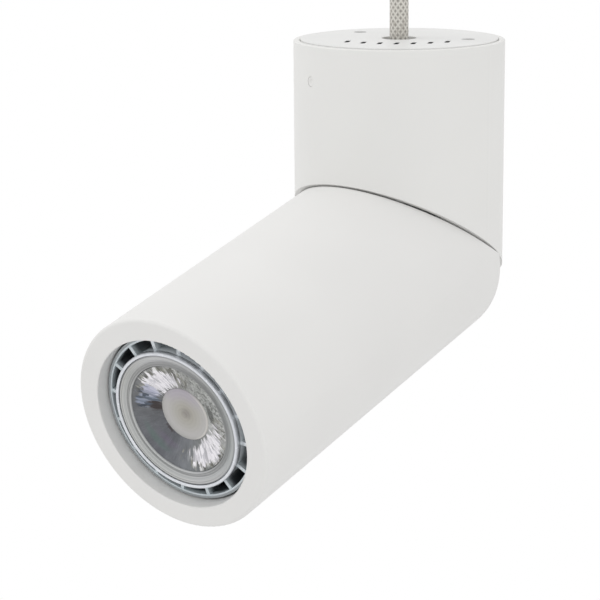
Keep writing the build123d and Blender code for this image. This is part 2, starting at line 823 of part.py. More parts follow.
def lamp_base():
    height = lamp_end_z - base_z
    body = Pos(0, 0, base_z + height / 2) * Cone(cone_end_r, base_end_r, height)
    hollow_h = height - base_wall
    hollow = Cone(cone_end_r - base_wall, base_end_r - base_wall, hollow_h)
    body -= Pos(0, 0, base_z + hollow_h / 2) * hollow
    for side in (-1, 1):
        body -= rod(lamp_neck_r, lamp_end_z - base_wall - 1, lamp_end_z + 1, side * lamp_pin_side, 0)
    return body


def lamp_pins():
    pins = []
    for side in (-1, 1):
        x = side * lamp_pin_side
        end = lamp_end_z + lamp_pin_length
        neck = rod(lamp_neck_r, lamp_end_z - base_wall, end, x, 0)
        pins.append(neck + rod(lamp_head_r, end - lamp_head_t, end, x, 0))
    return Compound(children=pins)


FIXED = [ceiling_plate, turning_washer, spring_washer, retaining_ring, supply_lead, lead_cores]
TURNING = [
    upper_shell, turning_disc, set_screws, hinge_arm, arm_screws, terminal_block, terminal_screws,
    block_screw, cord_clamp, clamp_screws, lead_tail, inner_leads, onward_leads, wiring_cover,
    cover_pillars, cover_screws, link_grommet, link_lead_upper,
]
TILTING = [
    lower_shell, rear_cap, cap_pins, posts_for_holder, cap_screws, holder_carrier, carrier_screws,
    lampholder, holder_contacts, holder_screws, holder_leads, cap_grommet, link_lead_lower,
    tilt_washers, hinge_bolt, lock_nut, lamp_heatsink, lamp_bezel, lamp_lens, lamp_cob, led_board,
    lamp_driver, lamp_base, lamp_pins,
]


def build():
    nodes = {}
    for make in FIXED + TURNING:
        nodes[make.__name__] = make()
    for make in TILTING:
        nodes[make.__name__] = LOWER * make()
    return nodes


os.makedirs("parts", exist_ok=True)
for name, solid in build().items():
    export_step(solid, f"parts/{name}.step")
print("tilting axis", round(pin_y, 3), round(pin_z, 3), "crossing", round(cross_z, 3))
print("supply lead", lead_inside + lead_sleeve, "mm of sleeve, bare cores", core_length, "mm")
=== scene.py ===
import math
import random

import bmesh
import bpy
from mathutils import Matrix, Vector


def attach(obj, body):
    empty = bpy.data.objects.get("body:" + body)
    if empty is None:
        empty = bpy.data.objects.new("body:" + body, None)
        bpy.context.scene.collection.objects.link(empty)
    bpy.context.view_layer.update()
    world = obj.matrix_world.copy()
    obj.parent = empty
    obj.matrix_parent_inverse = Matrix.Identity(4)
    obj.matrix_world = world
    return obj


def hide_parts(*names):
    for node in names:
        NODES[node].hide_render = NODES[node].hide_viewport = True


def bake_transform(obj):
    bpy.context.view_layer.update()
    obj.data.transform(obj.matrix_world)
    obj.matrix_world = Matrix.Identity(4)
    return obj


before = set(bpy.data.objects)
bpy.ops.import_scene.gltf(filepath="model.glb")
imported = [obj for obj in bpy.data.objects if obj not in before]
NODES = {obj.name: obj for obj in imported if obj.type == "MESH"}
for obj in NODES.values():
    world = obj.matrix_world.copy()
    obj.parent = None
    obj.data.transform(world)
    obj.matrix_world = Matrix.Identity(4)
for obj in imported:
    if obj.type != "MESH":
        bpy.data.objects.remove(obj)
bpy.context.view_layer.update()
MM = 0.001

# The tilting can's own frame: z runs up its axis, away from the light, and y to its underside.
AIM = math.radians(75.4)
CROSS = -66.9 * MM        # height at which the two cans' axes cross
LOWER = Matrix.Translation((0, 0, CROSS)) @ Matrix.Rotation(-AIM, 4, "X")
AXIS_Y = math.sin(AIM)
AXIS_Z = math.cos(AIM)
# Millimetres up that axis.
FACE = -117.2             # the can's front
RIM = FACE + 2.1          # front of the lamp's bright rim
EYE = RIM + 4.4           # middle disc
RING = FACE + 4.4         # front of the lamp's outer ring

# Degrees and millimetres in the part's frame, which has its origin on the ceiling.
VENT_BEARING = -59.2      # middle of the plate's row of vents
SCREW_BEARING = -111.2    # set screw that the photograph shows
SCREW_DEPTH = -11.1
SCREW_HEAD = 32.4         # from the can's axis to the screw's outer end
BOLT = (-17.5, 13.456, -77.3)       # where the link lead crosses the tilting bolt's line
LINK_R = 2.0
SLEEVE_R = 2.9

# Metres.
SLEEVE_FOOT = -0.012      # in the plate's stem
SLEEVE_TOP = 0.108
FLOOR = -0.32

FOCAL = 2122.6            # focal length in pixels of the picture
PICTURE = 600             # the picture's width in pixels
SENSOR = 36.0             # the camera's sensor in millimetres


# ------------------------------------------------------------------ materials
class Mat:
    """A node material with the usual helpers."""

    def __init__(self, name, roughness=0.5, metallic=0.0, **sockets):
        self.mat = bpy.data.materials.new(name)
        self.mat.use_nodes = True
        self.nodes = self.mat.node_tree.nodes
        self.links = self.mat.node_tree.links
        self.shader = self.nodes["Principled BSDF"]
        self.set("Roughness", roughness)
        self.set("Metallic", metallic)
        for key, value in sockets.items():
            self.set(key.replace("_", " "), value)

    def set(self, socket, value):
        self.shader.inputs[socket].default_value = value

    def node(self, kind, **props):
        n = self.nodes.new(kind)
        for key, value in props.items():
            setattr(n, key, value)
        return n

    def link(self, out, into):
        self.links.new(out, into)

    def coords(self, scale=(1, 1, 1)):
        """The object's own coordinates in metres, scaled."""
        tc = self.node("ShaderNodeTexCoord")
        mp = self.node("ShaderNodeMapping")
        mp.inputs["Scale"].default_value = scale
        self.link(tc.outputs["Object"], mp.inputs["Vector"])
        return mp.outputs["Vector"]

    def math(self, op, a, b=0.0, clamp=False):
        n = self.node("ShaderNodeMath", operation=op, use_clamp=clamp)
        for i, v in enumerate((a, b)):
            if isinstance(v, (int, float)):
                n.inputs[i].default_value = v
            else:
                self.link(v, n.inputs[i])
        return n.outputs[0]

    def add(self, a, b, clamp=False):
        return self.math("ADD", a, b, clamp)

    def sub(self, a, b):
        return self.math("SUBTRACT", a, b)

    def mul(self, a, b):
        return self.math("MULTIPLY", a, b)

    def length(self, x, y):
        """Length of the vector (x, y)."""
        return self.math("SQRT", self.add(self.mul(x, x), self.mul(y, y)))

    def noise(self, vector, scale, detail=3.0, roughness=0.55):
        n = self.node("ShaderNodeTexNoise")
        n.inputs["Scale"].default_value = scale
        n.inputs["Detail"].default_value = detail
        n.inputs["Roughness"].default_value = roughness
        self.link(vector, n.inputs["Vector"])
        return n.outputs["Fac"]

    def ramp(self, fac, stops):
        """A colour from (place, colour) stops."""
        n = self.node("ShaderNodeValToRGB")
        while len(n.color_ramp.elements) < len(stops):
            n.color_ramp.elements.new(0.5)
        for e, (pos, col) in zip(n.color_ramp.elements, stops):
            e.position = pos
            e.color = (*col, 1)
        self.link(fac, n.inputs["Fac"])
        return n.outputs["Color"]

    def mix(self, fac, a, b, blend="MIX"):
        n = self.node("ShaderNodeMix", data_type="RGBA", blend_type=blend)
        for key, v in ((0, fac), (6, a), (7, b)):
            if isinstance(v, (int, float)):
                n.inputs[key].default_value = v
            elif isinstance(v, tuple):
                n.inputs[key].default_value = (*v, 1)
            else:
                self.link(v, n.inputs[key])
        return n.outputs[2]

    def colour(self, out):
        self.link(out, self.shader.inputs["Base Color"])

    def rough(self, fac, low, high):
        """Roughness that goes from low to high with the factor."""
        n = self.node("ShaderNodeMapRange")
        n.inputs["To Min"].default_value = low
        n.inputs["To Max"].default_value = high
        self.link(fac, n.inputs["Value"])
        self.link(n.outputs["Result"], self.shader.inputs["Roughness"])

    def bump(self, height, distance, strength=1.0):
        """Relief of a height between 0 and 1, with its depth in metres."""
        n = self.node("ShaderNodeBump")
        n.inputs["Strength"].default_value = strength
        n.inputs["Distance"].default_value = distance
        self.link(height, n.inputs["Height"])
        self.link(n.outputs["Normal"], self.shader.inputs["Normal"])

    def along(self, direction, point):
        """Distance in metres along a direction from a point, in the part's frame."""
        tc = self.node("ShaderNodeTexCoord")
        dot = self.node("ShaderNodeVectorMath", operation="DOT_PRODUCT")
        dot.inputs[1].default_value = direction
        self.link(tc.outputs["Object"], dot.inputs[0])
        base = sum(a * b for a, b in zip(direction, point))
        return self.sub(dot.outputs["Value"], base)

    def step(self, value, low, high):
        """A smooth rise from 0 at low to 1 at high, or a fall where low is the greater."""
        n = self.node("ShaderNodeMapRange", interpolation_type="SMOOTHSTEP")
        n.inputs["From Min"].default_value = low
        n.inputs["From Max"].default_value = high
        self.link(value, n.inputs["Value"])
        return n.outputs["Result"]

    def polar(self):
        """(angle, radius) about the object's own z."""
        tc = self.node("ShaderNodeTexCoord")
        sep = self.node("ShaderNodeSeparateXYZ")
        self.link(tc.outputs["Object"], sep.inputs[0])
        x, y = sep.outputs["X"], sep.outputs["Y"]
        angle = self.math("ARCTAN2", y, x)
        return angle, self.length(x, y), sep.outputs["Z"]

    def combine(self, x, y, z=0.0):
        n = self.node("ShaderNodeCombineXYZ")
        for i, v in enumerate((x, y, z)):
            if isinstance(v, (int, float)):
                n.inputs[i].default_value = v
            else:
                self.link(v, n.inputs[i])
        return n.outputs[0]


def coat_base(name, tone):
    """A satin coat's material, fine grain and colour, with a hardly seen cloud in its tone."""
    m = Mat(name, roughness=0.46, Specular_IOR_Level=0.42)
    fine = m.noise(m.coords(), 2600, 2.0, 0.5)
    cloud = m.noise(m.coords(), 26, 2.0, 0.5)
    low = tuple(c * 0.985 for c in tone)
    high = tuple(min(1.0, c * 1.012) for c in tone)
    m.rough(fine, 0.40, 0.54)
    m.bump(fine, 0.00002, 0.35)
    return m, fine, m.ramp(cloud, [(0.3, low), (0.7, high)])


def powder_coat(name, tone):
    """Satin powder coat: a fine dimpled skin."""
    m, _, coat = coat_base(name, tone)
    m.colour(coat)
    return m.mat


def plate_coat(name, tone):
    """The same coat with painted shade, near black, on the vents' punched walls."""
    m, fine, coat = coat_base(name, tone)
    bearing = math.radians(VENT_BEARING)
    below = m.step(m.along((0, 0, -1), (0, 0, 0)), 0.00004, 0.00022)
    near_vents = m.step(m.along((math.cos(bearing), math.sin(bearing), 0), (0, 0, 0)), 0.0065, 0.0068)
    _, radius, _ = m.polar()
    inside = m.mul(near_vents, m.step(radius, 0.0285, 0.0275))
    # painted shade: a near-black colour on the vents' walls below the plate's top
    vent_shade = m.ramp(fine, [(0.3, (0.035, 0.036, 0.038)), (0.7, (0.07, 0.072, 0.075))])
    m.colour(m.mix(m.mul(below, inside), coat, vent_shade))
    return m.mat


def sheet_metal(name, dark, light, roughness=0.34, stretch=(1, 1, 1)):
    """Drawn or plated metal: fine lines along one way and a cloudy tone."""
    m = Mat(name, roughness=roughness, metallic=1.0)
    lines = m.noise(m.coords(scale=stretch), 900, 3.0, 0.6)
    cloud = m.noise(m.coords(), 120, 3.0, 0.6)
    m.colour(m.mix(m.mul(lines, 0.6), m.ramp(cloud, [(0.3, dark), (0.7, light)]), light))
    m.rough(lines, roughness - 0.08, roughness + 0.12)
    m.bump(lines, 0.00002, 0.3)
    return m.mat


def moulding(name, tone, roughness=0.45, grain=1500, depth=0.00002, specular=0.5):
    """Moulded plastic, rubber or ceramic with a fine grain and a faint cloud in its tone."""
    m = Mat(name, roughness=roughness, Specular_IOR_Level=specular)
    fine = m.noise(m.coords(), grain, 3.0, 0.6)
    cloud = m.noise(m.coords(), 60, 2.0, 0.5)
    low = tuple(c * 0.95 for c in tone)
    high = tuple(min(1.0, c * 1.04) for c in tone)
    m.colour(m.ramp(cloud, [(0.3, low), (0.7, high)]))
    m.rough(fine, roughness - 0.06, roughness + 0.1)
    m.bump(fine, depth, 0.5)
    return m.mat


def cast_lamp_metal(name):
    """The lamp's casting: blasted bright on its front edges, with painted shade down in the fins,
    painted light on the upper right and near the rim, and a painted dark band at its outer edge.
    """
    m = Mat(name, roughness=0.5, metallic=0.25, Specular_IOR_Level=0.4)
    across = m.along((1, 0, 0), (0, 0, 0))
    down = m.along((0, AXIS_Z, -AXIS_Y), (0, 0, CROSS))
    angle = m.math("ARCTAN2", down, across)
    radius = m.length(across, down)
    depth = m.along((0, AXIS_Y, AXIS_Z), (0, RING * MM * AXIS_Y, CROSS + RING * MM * AXIS_Z))
    front = m.step(depth, 0.0026, 0.0002)
    grain = m.noise(m.coords(), 1400, 3.0, 0.6)
    cloud = m.noise(m.coords(), 130, 3.0, 0.6)
    # painted shade: the windows between the fins dark down in the casting
    fin_shade = m.ramp(cloud, [(0.3, (0.065, 0.075, 0.082)), (0.7, (0.115, 0.127, 0.138))])
    # painted light: the windows and front edges lighter on the upper right side
    lit_side = m.step(m.math("COSINE", m.sub(angle, math.radians(-42))), 0.05, 0.75)
    fin_shade = m.mix(lit_side, fin_shade, (0.52, 0.58, 0.60))
    # painted light: the windows lighter near the front, by the rim
    lit_near_rim = m.mul(m.step(radius, 0.0222, 0.0208), m.step(depth, 0.010, 0.001))
    fin_shade = m.mix(m.mul(lit_near_rim, 0.75), fin_shade, (0.50, 0.54, 0.56))
    bright = m.ramp(grain, [(0.25, (0.60, 0.66, 0.69)), (0.75, (0.74, 0.80, 0.83))])
    bright = m.mix(m.mul(lit_side, 0.8), bright, (0.92, 0.95, 0.98))
    # painted shade: a dark band at the ring's outer edge for the gap to the bore wall
    outer_gap_shade = m.mul(m.step(radius, 0.02455, 0.0248), 0.8)
    bright = m.mix(outer_gap_shade, bright, (0.31, 0.33, 0.34))
    m.colour(m.mix(front, fin_shade, bright))
    m.rough(grain, 0.36, 0.58)
    m.bump(grain, 0.00003, 0.4)
    return m.mat


WHITE = (0.765, 0.762, 0.745)
M = {
    "upper": powder_coat("powder_coat_upper", WHITE),
    "lower": powder_coat("powder_coat_lower", (0.76, 0.755, 0.742)),
    "plate": plate_coat("powder_coat_plate", (0.745, 0.745, 0.735)),
    "cap": powder_coat("powder_coat_cap", WHITE),
    "zinc": sheet_metal("zinc_plate", (0.50, 0.51, 0.53), (0.68, 0.69, 0.70), 0.36, (1, 1, 0.1)),
    "steel": sheet_metal("bright_steel", (0.48, 0.48, 0.49), (0.66, 0.66, 0.67), 0.28),
    "coated_screw": powder_coat("coated_screw", (0.72, 0.72, 0.71)),
    "brass": sheet_metal("brass", (0.55, 0.38, 0.15), (0.75, 0.58, 0.28), 0.3),
    "washer": moulding("washer_plastic", (0.72, 0.70, 0.64), 0.38),
    "white_plastic": moulding("white_plastic", (0.74, 0.74, 0.71), 0.42),
    "ceramic": moulding("ceramic", (0.70, 0.67, 0.60), 0.6, 2600, 0.00004),
    "board_white": moulding("board_white", (0.80, 0.80, 0.78), 0.4),
    "board_green": moulding("board_green", (0.03, 0.12, 0.05), 0.4, 700),
    "lamp_plastic": moulding("lamp_plastic", (0.70, 0.70, 0.69), 0.25),
    "phosphor": moulding("phosphor_resin", (0.62, 0.50, 0.15), 0.5, 1800),
    "core": moulding("core_insulation", (0.62, 0.56, 0.46), 0.42),
    "lead_rubber": moulding("lead_rubber", (0.62, 0.60, 0.56), 0.5, 900, 0.00004),
    "rubber": moulding("grommet_rubber", (0.035, 0.035, 0.035), 0.62, 1200, 0.00005, 0.35),
    "cast": cast_lamp_metal("lamp_casting"),
}


def woven_sleeve(name):
    """Grey beige glass braid: fine strands crossing at a slant, with fibres and darker gaps."""
    m = Mat(name, roughness=0.62, Specular_IOR_Level=0.4, Sheen_Weight=0.15)
    angle, _, z = m.polar()
    slip = m.noise(m.coords(), 420, 2.0, 0.6)
    turns = m.add(m.mul(angle, 11.0), m.mul(slip, 2.2))
    run = m.mul(z, 2 * math.pi / 0.0021)
    a = m.math("SINE", m.add(turns, run))
    b = m.math("SINE", m.sub(turns, run))
    over = m.mul(m.add(m.math("MAXIMUM", a, b), 1.0), 0.5)
    fibre = m.noise(m.coords(scale=(1, 1, 0.3)), 4200, 3.0, 0.7)
    tone = m.add(m.mul(over, 0.6), m.mul(fibre, 0.55), clamp=True)
    shade = m.ramp(tone, [
        (0.25, (0.22, 0.21, 0.19)), (0.5, (0.44, 0.42, 0.385)), (0.75, (0.60, 0.58, 0.53)),
        (0.95, (0.76, 0.74, 0.69))])
    patch = m.noise(m.coords(scale=(1, 1, 0.5)), 700, 2.0, 0.6)
    m.colour(m.mix(m.step(patch, 0.48, 0.66), shade, m.mix(0.5, shade, (0.34, 0.31, 0.27))))
    m.bump(m.add(over, m.mul(fibre, 0.4)), 0.0002, 0.8)
    return m.mat


M["sleeve"] = woven_sleeve("woven_sleeve")


def dress(names, key):
    """Gives the named nodes one of the looks."""
    for n in names.split():
        o = NODES[n]
        o.data.materials.clear()
        o.data.materials.append(M[key])


dress("upper_shell", "upper")
dress("lower_shell", "lower")
dress("ceiling_plate wiring_cover", "plate")
dress("rear_cap", "cap")
dress("turning_disc hinge_arm holder_carrier", "zinc")
dress("spring_washer retaining_ring arm_screws block_screw clamp_screws", "steel")
dress("cover_pillars cover_screws posts_for_holder cap_screws carrier_screws", "steel")
dress("holder_screws hinge_bolt lock_nut lamp_pins", "steel")
dress("set_screws cap_pins", "coated_screw")
dress("turning_washer tilt_washers", "washer")
dress("terminal_block cord_clamp", "white_plastic")
dress("terminal_screws holder_contacts", "brass")
dress("lampholder", "ceramic")
dress("led_board", "board_white")
dress("lamp_driver", "board_green")
dress("lamp_cob", "phosphor")
dress("lamp_base", "lamp_plastic")
dress("lead_cores inner_leads onward_leads holder_leads", "core")
dress("link_lead_upper link_lead_lower", "lead_rubber")
dress("link_grommet cap_grommet", "rubber")
dress("lamp_heatsink", "cast")
dress("lead_tail supply_lead", "sleeve")


# ------------------------------------------------------------------ mesh helpers
def finish_mesh(bm, name, mat, body, matrix, smooth=True):
    """Makes an object of a bmesh, and lets it ride on a body."""
    me = bpy.data.meshes.new(name)
    bmesh.ops.recalc_face_normals(bm, faces=bm.faces)
    bm.to_mesh(me)
    bm.free()
    for p in me.polygons:
        p.use_smooth = smooth
    me.materials.append(mat)
    ob = bpy.data.objects.new(name, me)
    bpy.context.scene.collection.objects.link(ob)
    ob.matrix_world = matrix
    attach(ob, body)
    return ob


def turn_profile(bm, profile, segments, closed, place):
    """Adds a ring or disc turned about an axis from (radius, z) points in millimetres."""
    rings = []
    for r, z in profile:
        if r < 1e-6:
            rings.append([bm.verts.new(place @ Vector((0, 0, z * MM)))])
            continue
        ring = []
        for i in range(segments):
            a = 2 * math.pi * i / segments
            point = Vector((r * MM * math.cos(a), r * MM * math.sin(a), z * MM))
            ring.append(bm.verts.new(place @ point))
        rings.append(ring)
    pairs = list(zip(rings, rings[1:]))
    if closed:
        pairs.append((rings[-1], rings[0]))
    for a, b in pairs:
        if len(a) == 1 and len(b) == 1:
            continue
        for i in range(segments):
            j = (i + 1) % segments
            if len(a) == 1:
                bm.faces.new((a[0], b[i], b[j]))
            elif len(b) == 1:
                bm.faces.new((a[i], a[j], b[0]))
            else:
                bm.faces.new((a[i], a[j], b[j], b[i]))


def lathe(name, profile, mat, body, matrix=LOWER, segments=128, closed=True, copies=None):
    """A turned piece, at each of the copies' places or once in the matrix's own frame."""
    bm = bmesh.new()
    for place in copies or [Matrix.Identity(4)]:
        turn_profile(bm, profile, segments, closed, place)
    return finish_mesh(bm, name, mat, body, matrix)


def arc(cx, cz, r, start, end, n):
    """Points of an arc in the (radius, z) plane, angles in degrees."""
    out = []
    for i in range(n + 1):
        a = math.radians(start + (end - start) * i / n)
        out.append((cx + r * math.cos(a), cz + r * math.sin(a)))
    return out


# ------------------------------------------------------------------ lamp's front
def rim_metal():
    """Bright rolled aluminium."""
    m = Mat("lamp_rim_metal", roughness=0.24, metallic=0.3, Coat_Weight=0.25, Coat_Roughness=0.1)
    grain = m.noise(m.coords(), 700, 2.0, 0.5)
    m.colour(m.ramp(grain, [(0.3, (0.66, 0.68, 0.72)), (0.7, (0.74, 0.76, 0.80))]))
    m.rough(grain, 0.22, 0.30)
    return m.mat


def lens_steps_look():
    """Clear plastic seen over the reflector's edge: pale grey with fine turned rings, and painted
    highlights, reflections and shade in bands, sharpest on the lower left.
    """
    m = Mat("lens_steps", roughness=0.2, Specular_IOR_Level=0.45,
            Coat_Weight=0.2, Coat_Roughness=0.05)
    angle, radius, _ = m.polar()
    # painted reflections: the edge's tone changes around it
    around = m.ramp(m.math("DIVIDE", m.add(angle, math.pi), 2 * math.pi), [
        (0.0, (0.42, 0.425, 0.415)), (0.11, (0.38, 0.385, 0.37)), (0.22, (0.50, 0.50, 0.51)),
        (0.40, (0.29, 0.30, 0.295)), (0.56, (0.38, 0.40, 0.40)), (0.72, (0.42, 0.42, 0.43)),
        (0.86, (0.37, 0.385, 0.37)), (1.0, (0.42, 0.425, 0.415))])
    # painted highlights and shade: bright and dark bands across the edge, the brightest over 1
    across = m.ramp(m.math("DIVIDE", m.sub(radius, 16.0 * MM), 4.2 * MM), [
        (0.0, (0.30, 0.31, 0.32)), (0.08, (0.42, 0.43, 0.45)), (0.16, (1.05, 1.06, 1.08)),
        (0.21, (0.46, 0.46, 0.47)),
        (0.31, (0.85, 0.85, 0.85)), (0.38, (0.52, 0.52, 0.52)), (0.50, (1.05, 1.05, 1.05)),
        (0.55, (0.58, 0.58, 0.57)), (0.61, (1.75, 1.77, 1.80)), (0.66, (0.92, 0.92, 0.90)),
        (0.80, (1.06, 1.05, 1.02)),
        (0.89, (0.84, 0.83, 0.80)), (0.93, (0.50, 0.50, 0.50)), (1.0, (1.5, 1.5, 1.52))])
    rings = m.math("SINE", m.mul(radius, 2 * math.pi / 0.00072))
    lines = m.mul(m.add(rings, 1.0), 0.5)
    tone = m.mix(1.0, around, across, "MULTIPLY")
    # the lower left side, where the painted highlight lines are sharpest
    highlit_side = m.step(m.math("COSINE", m.sub(angle, math.radians(140))), -0.3, 0.7)
    # painted shade towards the inside
    inner = m.mul(m.step(radius, 0.0187, 0.0163), 0.8)
    faint = m.mix(inner, m.mix(0.25, around, tone), (0.175, 0.178, 0.175))
    tone = m.mix(highlit_side, faint, tone)
    # painted shade in the dips between the turned rings, and painted highlights on their crests
    ring_shade = m.mul(m.sub(1.0, lines), m.add(m.mul(highlit_side, 0.38), 0.08))
    tone = m.mix(ring_shade, tone, (0.20, 0.21, 0.215))
    m.colour(m.mix(m.mul(lines, m.add(m.mul(highlit_side, 0.34), 0.10)), tone,
                   (0.74, 0.75, 0.75)))
    m.bump(lines, 0.00004, 0.4)
    return m.mat


def near(m, angle, radius, centre, half, middle, reach):
    """How far a point lies from a patch's middle, 1 at its edge: bearings in degrees, radii in mm."""
    swing = m.math("ARCCOSINE", m.math("COSINE", m.sub(angle, math.radians(centre))))
    a = m.math("DIVIDE", swing, math.radians(half))
    r = m.math("DIVIDE", m.sub(radius, middle * MM), reach * MM)
    return m.length(a, r)


def facet_look():
    """The collimator's prisms: two fans of painted reflections in bright streaks, and smoky plastic
    between them with painted sheen and glints.
    """
    m = Mat("lens_facets", roughness=0.2, Specular_IOR_Level=0.4)
    angle, radius, _ = m.polar()
    bend = m.mul(m.noise(m.coords(), 260, 2.0, 0.6), 0.9)
    turned = m.add(m.mul(angle, 21.0), bend)
    streaks = m.combine(turned, m.mul(radius, 330.0))
    cells = m.node("ShaderNodeTexVoronoi", feature="F1", distance="MANHATTAN")
    cells.inputs["Scale"].default_value = 1.0
    m.link(streaks, cells.inputs["Vector"])
    sep = m.node("ShaderNodeSeparateColor")
    m.link(cells.outputs["Color"], sep.inputs[0])
    one, two, three = sep.outputs[0], sep.outputs[1], sep.outputs[2]
    hair = m.noise(m.combine(m.mul(angle, 46.0), m.mul(radius, 300.0)), 1.0, 2.0, 0.5)
    chips = m.noise(m.coords(), 1050, 2.0, 0.6)

    smoke = m.noise(m.combine(m.mul(m.math("COSINE", angle), 2.0),
                              m.mul(m.math("SINE", angle), 2.0),
                              m.mul(radius, 90.0)), 2.0, 3.0, 0.6)
    base = m.ramp(m.math("DIVIDE", m.add(angle, math.pi), 2 * math.pi), [
        (0.0, (0.12, 0.125, 0.135)), (0.10, (0.16, 0.165, 0.17)), (0.22, (0.24, 0.24, 0.235)),
        (0.34, (0.34, 0.35, 0.335)), (0.46, (0.34, 0.35, 0.34)), (0.54, (0.42, 0.425, 0.42)),
        (0.66, (0.20, 0.21, 0.205)), (0.76, (0.17, 0.18, 0.195)), (0.86, (0.115, 0.12, 0.137)),
        (1.0, (0.12, 0.125, 0.135))])
    veil = m.ramp(smoke, [(0.3, (0.78, 0.78, 0.78)), (0.7, (1.22, 1.22, 1.22))])
    base = m.mix(1.0, base, veil, "MULTIPLY")
    speck_zone = m.step(near(m, angle, radius, -40, 62, 13.5, 5.5), 1.15, 0.8)
    specks = m.mul(speck_zone, m.step(chips, 0.50, 0.60))
    base = m.mix(m.mul(specks, 0.7), base, (0.085, 0.09, 0.08))
    glints = m.mul(speck_zone, m.step(chips, 0.42, 0.34))
    base = m.mix(m.mul(glints, 0.6), base, (0.62, 0.63, 0.60))
    sheen = near(m, angle, radius, 142, 34, 13.6, 1.5)
    base = m.mix(m.mul(m.step(sheen, 1.0, 0.2), 0.5), base, (0.085, 0.145, 0.125))
    sheen = near(m, angle, radius, 128, 30, 11.4, 1.3)
    base = m.mix(m.mul(m.step(sheen, 1.0, 0.2), 0.4), base, (0.15, 0.12, 0.18))
    blue = near(m, angle, radius, -162, 16, 12.0, 3.6)
    shade = m.ramp(three, [
        (0.0, (0.03, 0.04, 0.06)), (0.35, (0.085, 0.105, 0.14)), (0.7, (0.14, 0.17, 0.22)),
        (1.0, (0.30, 0.33, 0.42))])
    base = m.mix(m.step(m.add(blue, m.mul(one, 0.5)), 1.25, 0.95), base, shade)
    brown = near(m, angle, radius, -172, 14, 9.4, 3.4)
    base = m.mix(m.step(m.add(brown, m.mul(two, 0.6)), 1.15, 0.7), base, (0.032, 0.023, 0.023))
    brown = near(m, angle, radius, 139, 17, 8.55, 0.65)
    cover = m.mul(m.step(m.add(brown, m.mul(two, 0.35)), 1.15, 0.5), 0.85)
    base = m.mix(cover, base, (0.040, 0.027, 0.027))
    dusk = near(m, angle, radius, -8, 26, 10.4, 1.9)
    base = m.mix(m.step(m.add(dusk, m.mul(chips, 0.8)), 1.35, 0.95), base, (0.10, 0.105, 0.10))

    # painted highlights: the pale streaks of the fans
    pale = m.ramp(two, [
        (0.0, (0.34, 0.34, 0.36)), (0.20, (0.62, 0.61, 0.65)), (0.42, (0.80, 0.78, 0.82)),
        (1.0, (0.93, 0.91, 0.94))])
    pale = m.mix(m.step(hair, 0.60, 0.70), pale, (0.36, 0.36, 0.38))
    edge = m.mul(m.add(one, hair), 0.42)
    # painted reflections: the bright and dark streaks of the two fans seen in the prisms
    fan_reflections = m.ramp(three, [
        (0.0, (0.07, 0.07, 0.06)), (0.25, (0.16, 0.16, 0.14)), (0.45, (0.33, 0.33, 0.29)),
        (0.7, (0.26, 0.26, 0.25)), (0.85, (0.55, 0.55, 0.54)), (1.0, (0.80, 0.80, 0.80))])
    fan = near(m, angle, radius, -108, 54, 12.4, 5.2)
    base = m.mix(m.step(m.add(fan, edge), 1.30, 1.10), base, fan_reflections)
    fan = near(m, angle, radius, -118, 40, 11.6, 4.2)
    base = m.mix(m.step(m.add(fan, edge), 1.26, 1.10), base, pale)
    lilac = near(m, angle, radius, -147, 14, 11.6, 3.4)
    violet = m.ramp(three, [
        (0.0, (0.20, 0.22, 0.28)), (0.5, (0.44, 0.45, 0.56)), (1.0, (0.66, 0.66, 0.74))])
    base = m.mix(m.step(m.add(lilac, edge), 1.20, 1.0), base, violet)
    fan = near(m, angle, radius, 44, 64, 12.8, 4.9)
    base = m.mix(m.step(m.add(fan, edge), 1.26, 1.06), base, fan_reflections)
    fan = near(m, angle, radius, 48, 50, 12.1, 4.3)
    base = m.mix(m.step(m.add(fan, edge), 1.24, 1.08), base, pale)
    m.colour(base)
    m.rough(three, 0.12, 0.30)
    return m.mat


def eye_look():
    """The frosted middle disc: warm grey, with faint turned rings, the light source's spot, a painted
    sheen along its top and a painted highlight on its right edge.
    """
    m = Mat("lens_eye", roughness=0.4, Specular_IOR_Level=0.4)
    angle, radius, _ = m.polar()
    tc = m.node("ShaderNodeTexCoord")
    apart = m.node("ShaderNodeVectorMath", operation="DISTANCE")
    m.link(tc.outputs["Object"], apart.inputs[0])
    apart.inputs[1].default_value = (0.0009, -0.0006, EYE * MM)
    spot = m.math("DIVIDE", apart.outputs["Value"], 8.3 * MM)
    base = m.ramp(spot, [
        (0.0, (0.235, 0.215, 0.20)), (0.13, (0.28, 0.265, 0.24)), (0.26, (0.375, 0.36, 0.32)),
        (0.50, (0.42, 0.41, 0.38)), (0.80, (0.48, 0.47, 0.465)), (1.0, (0.46, 0.455, 0.445))])
    # painted sheen: a lavender tint along the disc's top edge
    side = m.math("COSINE", m.sub(angle, math.radians(-85)))
    r = m.math("DIVIDE", radius, 8.0 * MM)
    top_sheen = m.mul(m.step(side, 0.3, 1.0), m.step(r, 0.35, 0.9))
    base = m.mix(m.mul(top_sheen, 0.6), base, (0.37, 0.33, 0.42))
    rings = m.math("SINE", m.mul(radius, 2 * math.pi / 0.0011))
    fine = m.noise(m.coords(), 1500, 3.0, 0.6)
    tint = m.mix(m.mul(m.add(rings, 1.0), 0.055), base, (0.62, 0.60, 0.57))
    # painted highlight: a bright band along the disc's right edge
    right = m.math("COSINE", m.sub(angle, math.radians(5)))
    right_edge_highlight = m.mul(m.step(right, 0.1, 0.9), m.step(r, 0.90, 0.965))
    tint = m.mix(m.mul(right_edge_highlight, 0.65), tint, (0.72, 0.70, 0.66))
    m.colour(m.mix(m.mul(fine, 0.18), tint, (0.33, 0.31, 0.28)))
    m.bump(m.add(m.mul(rings, 0.5), m.mul(fine, 0.5)), 0.00003, 0.4)
    return m.mat


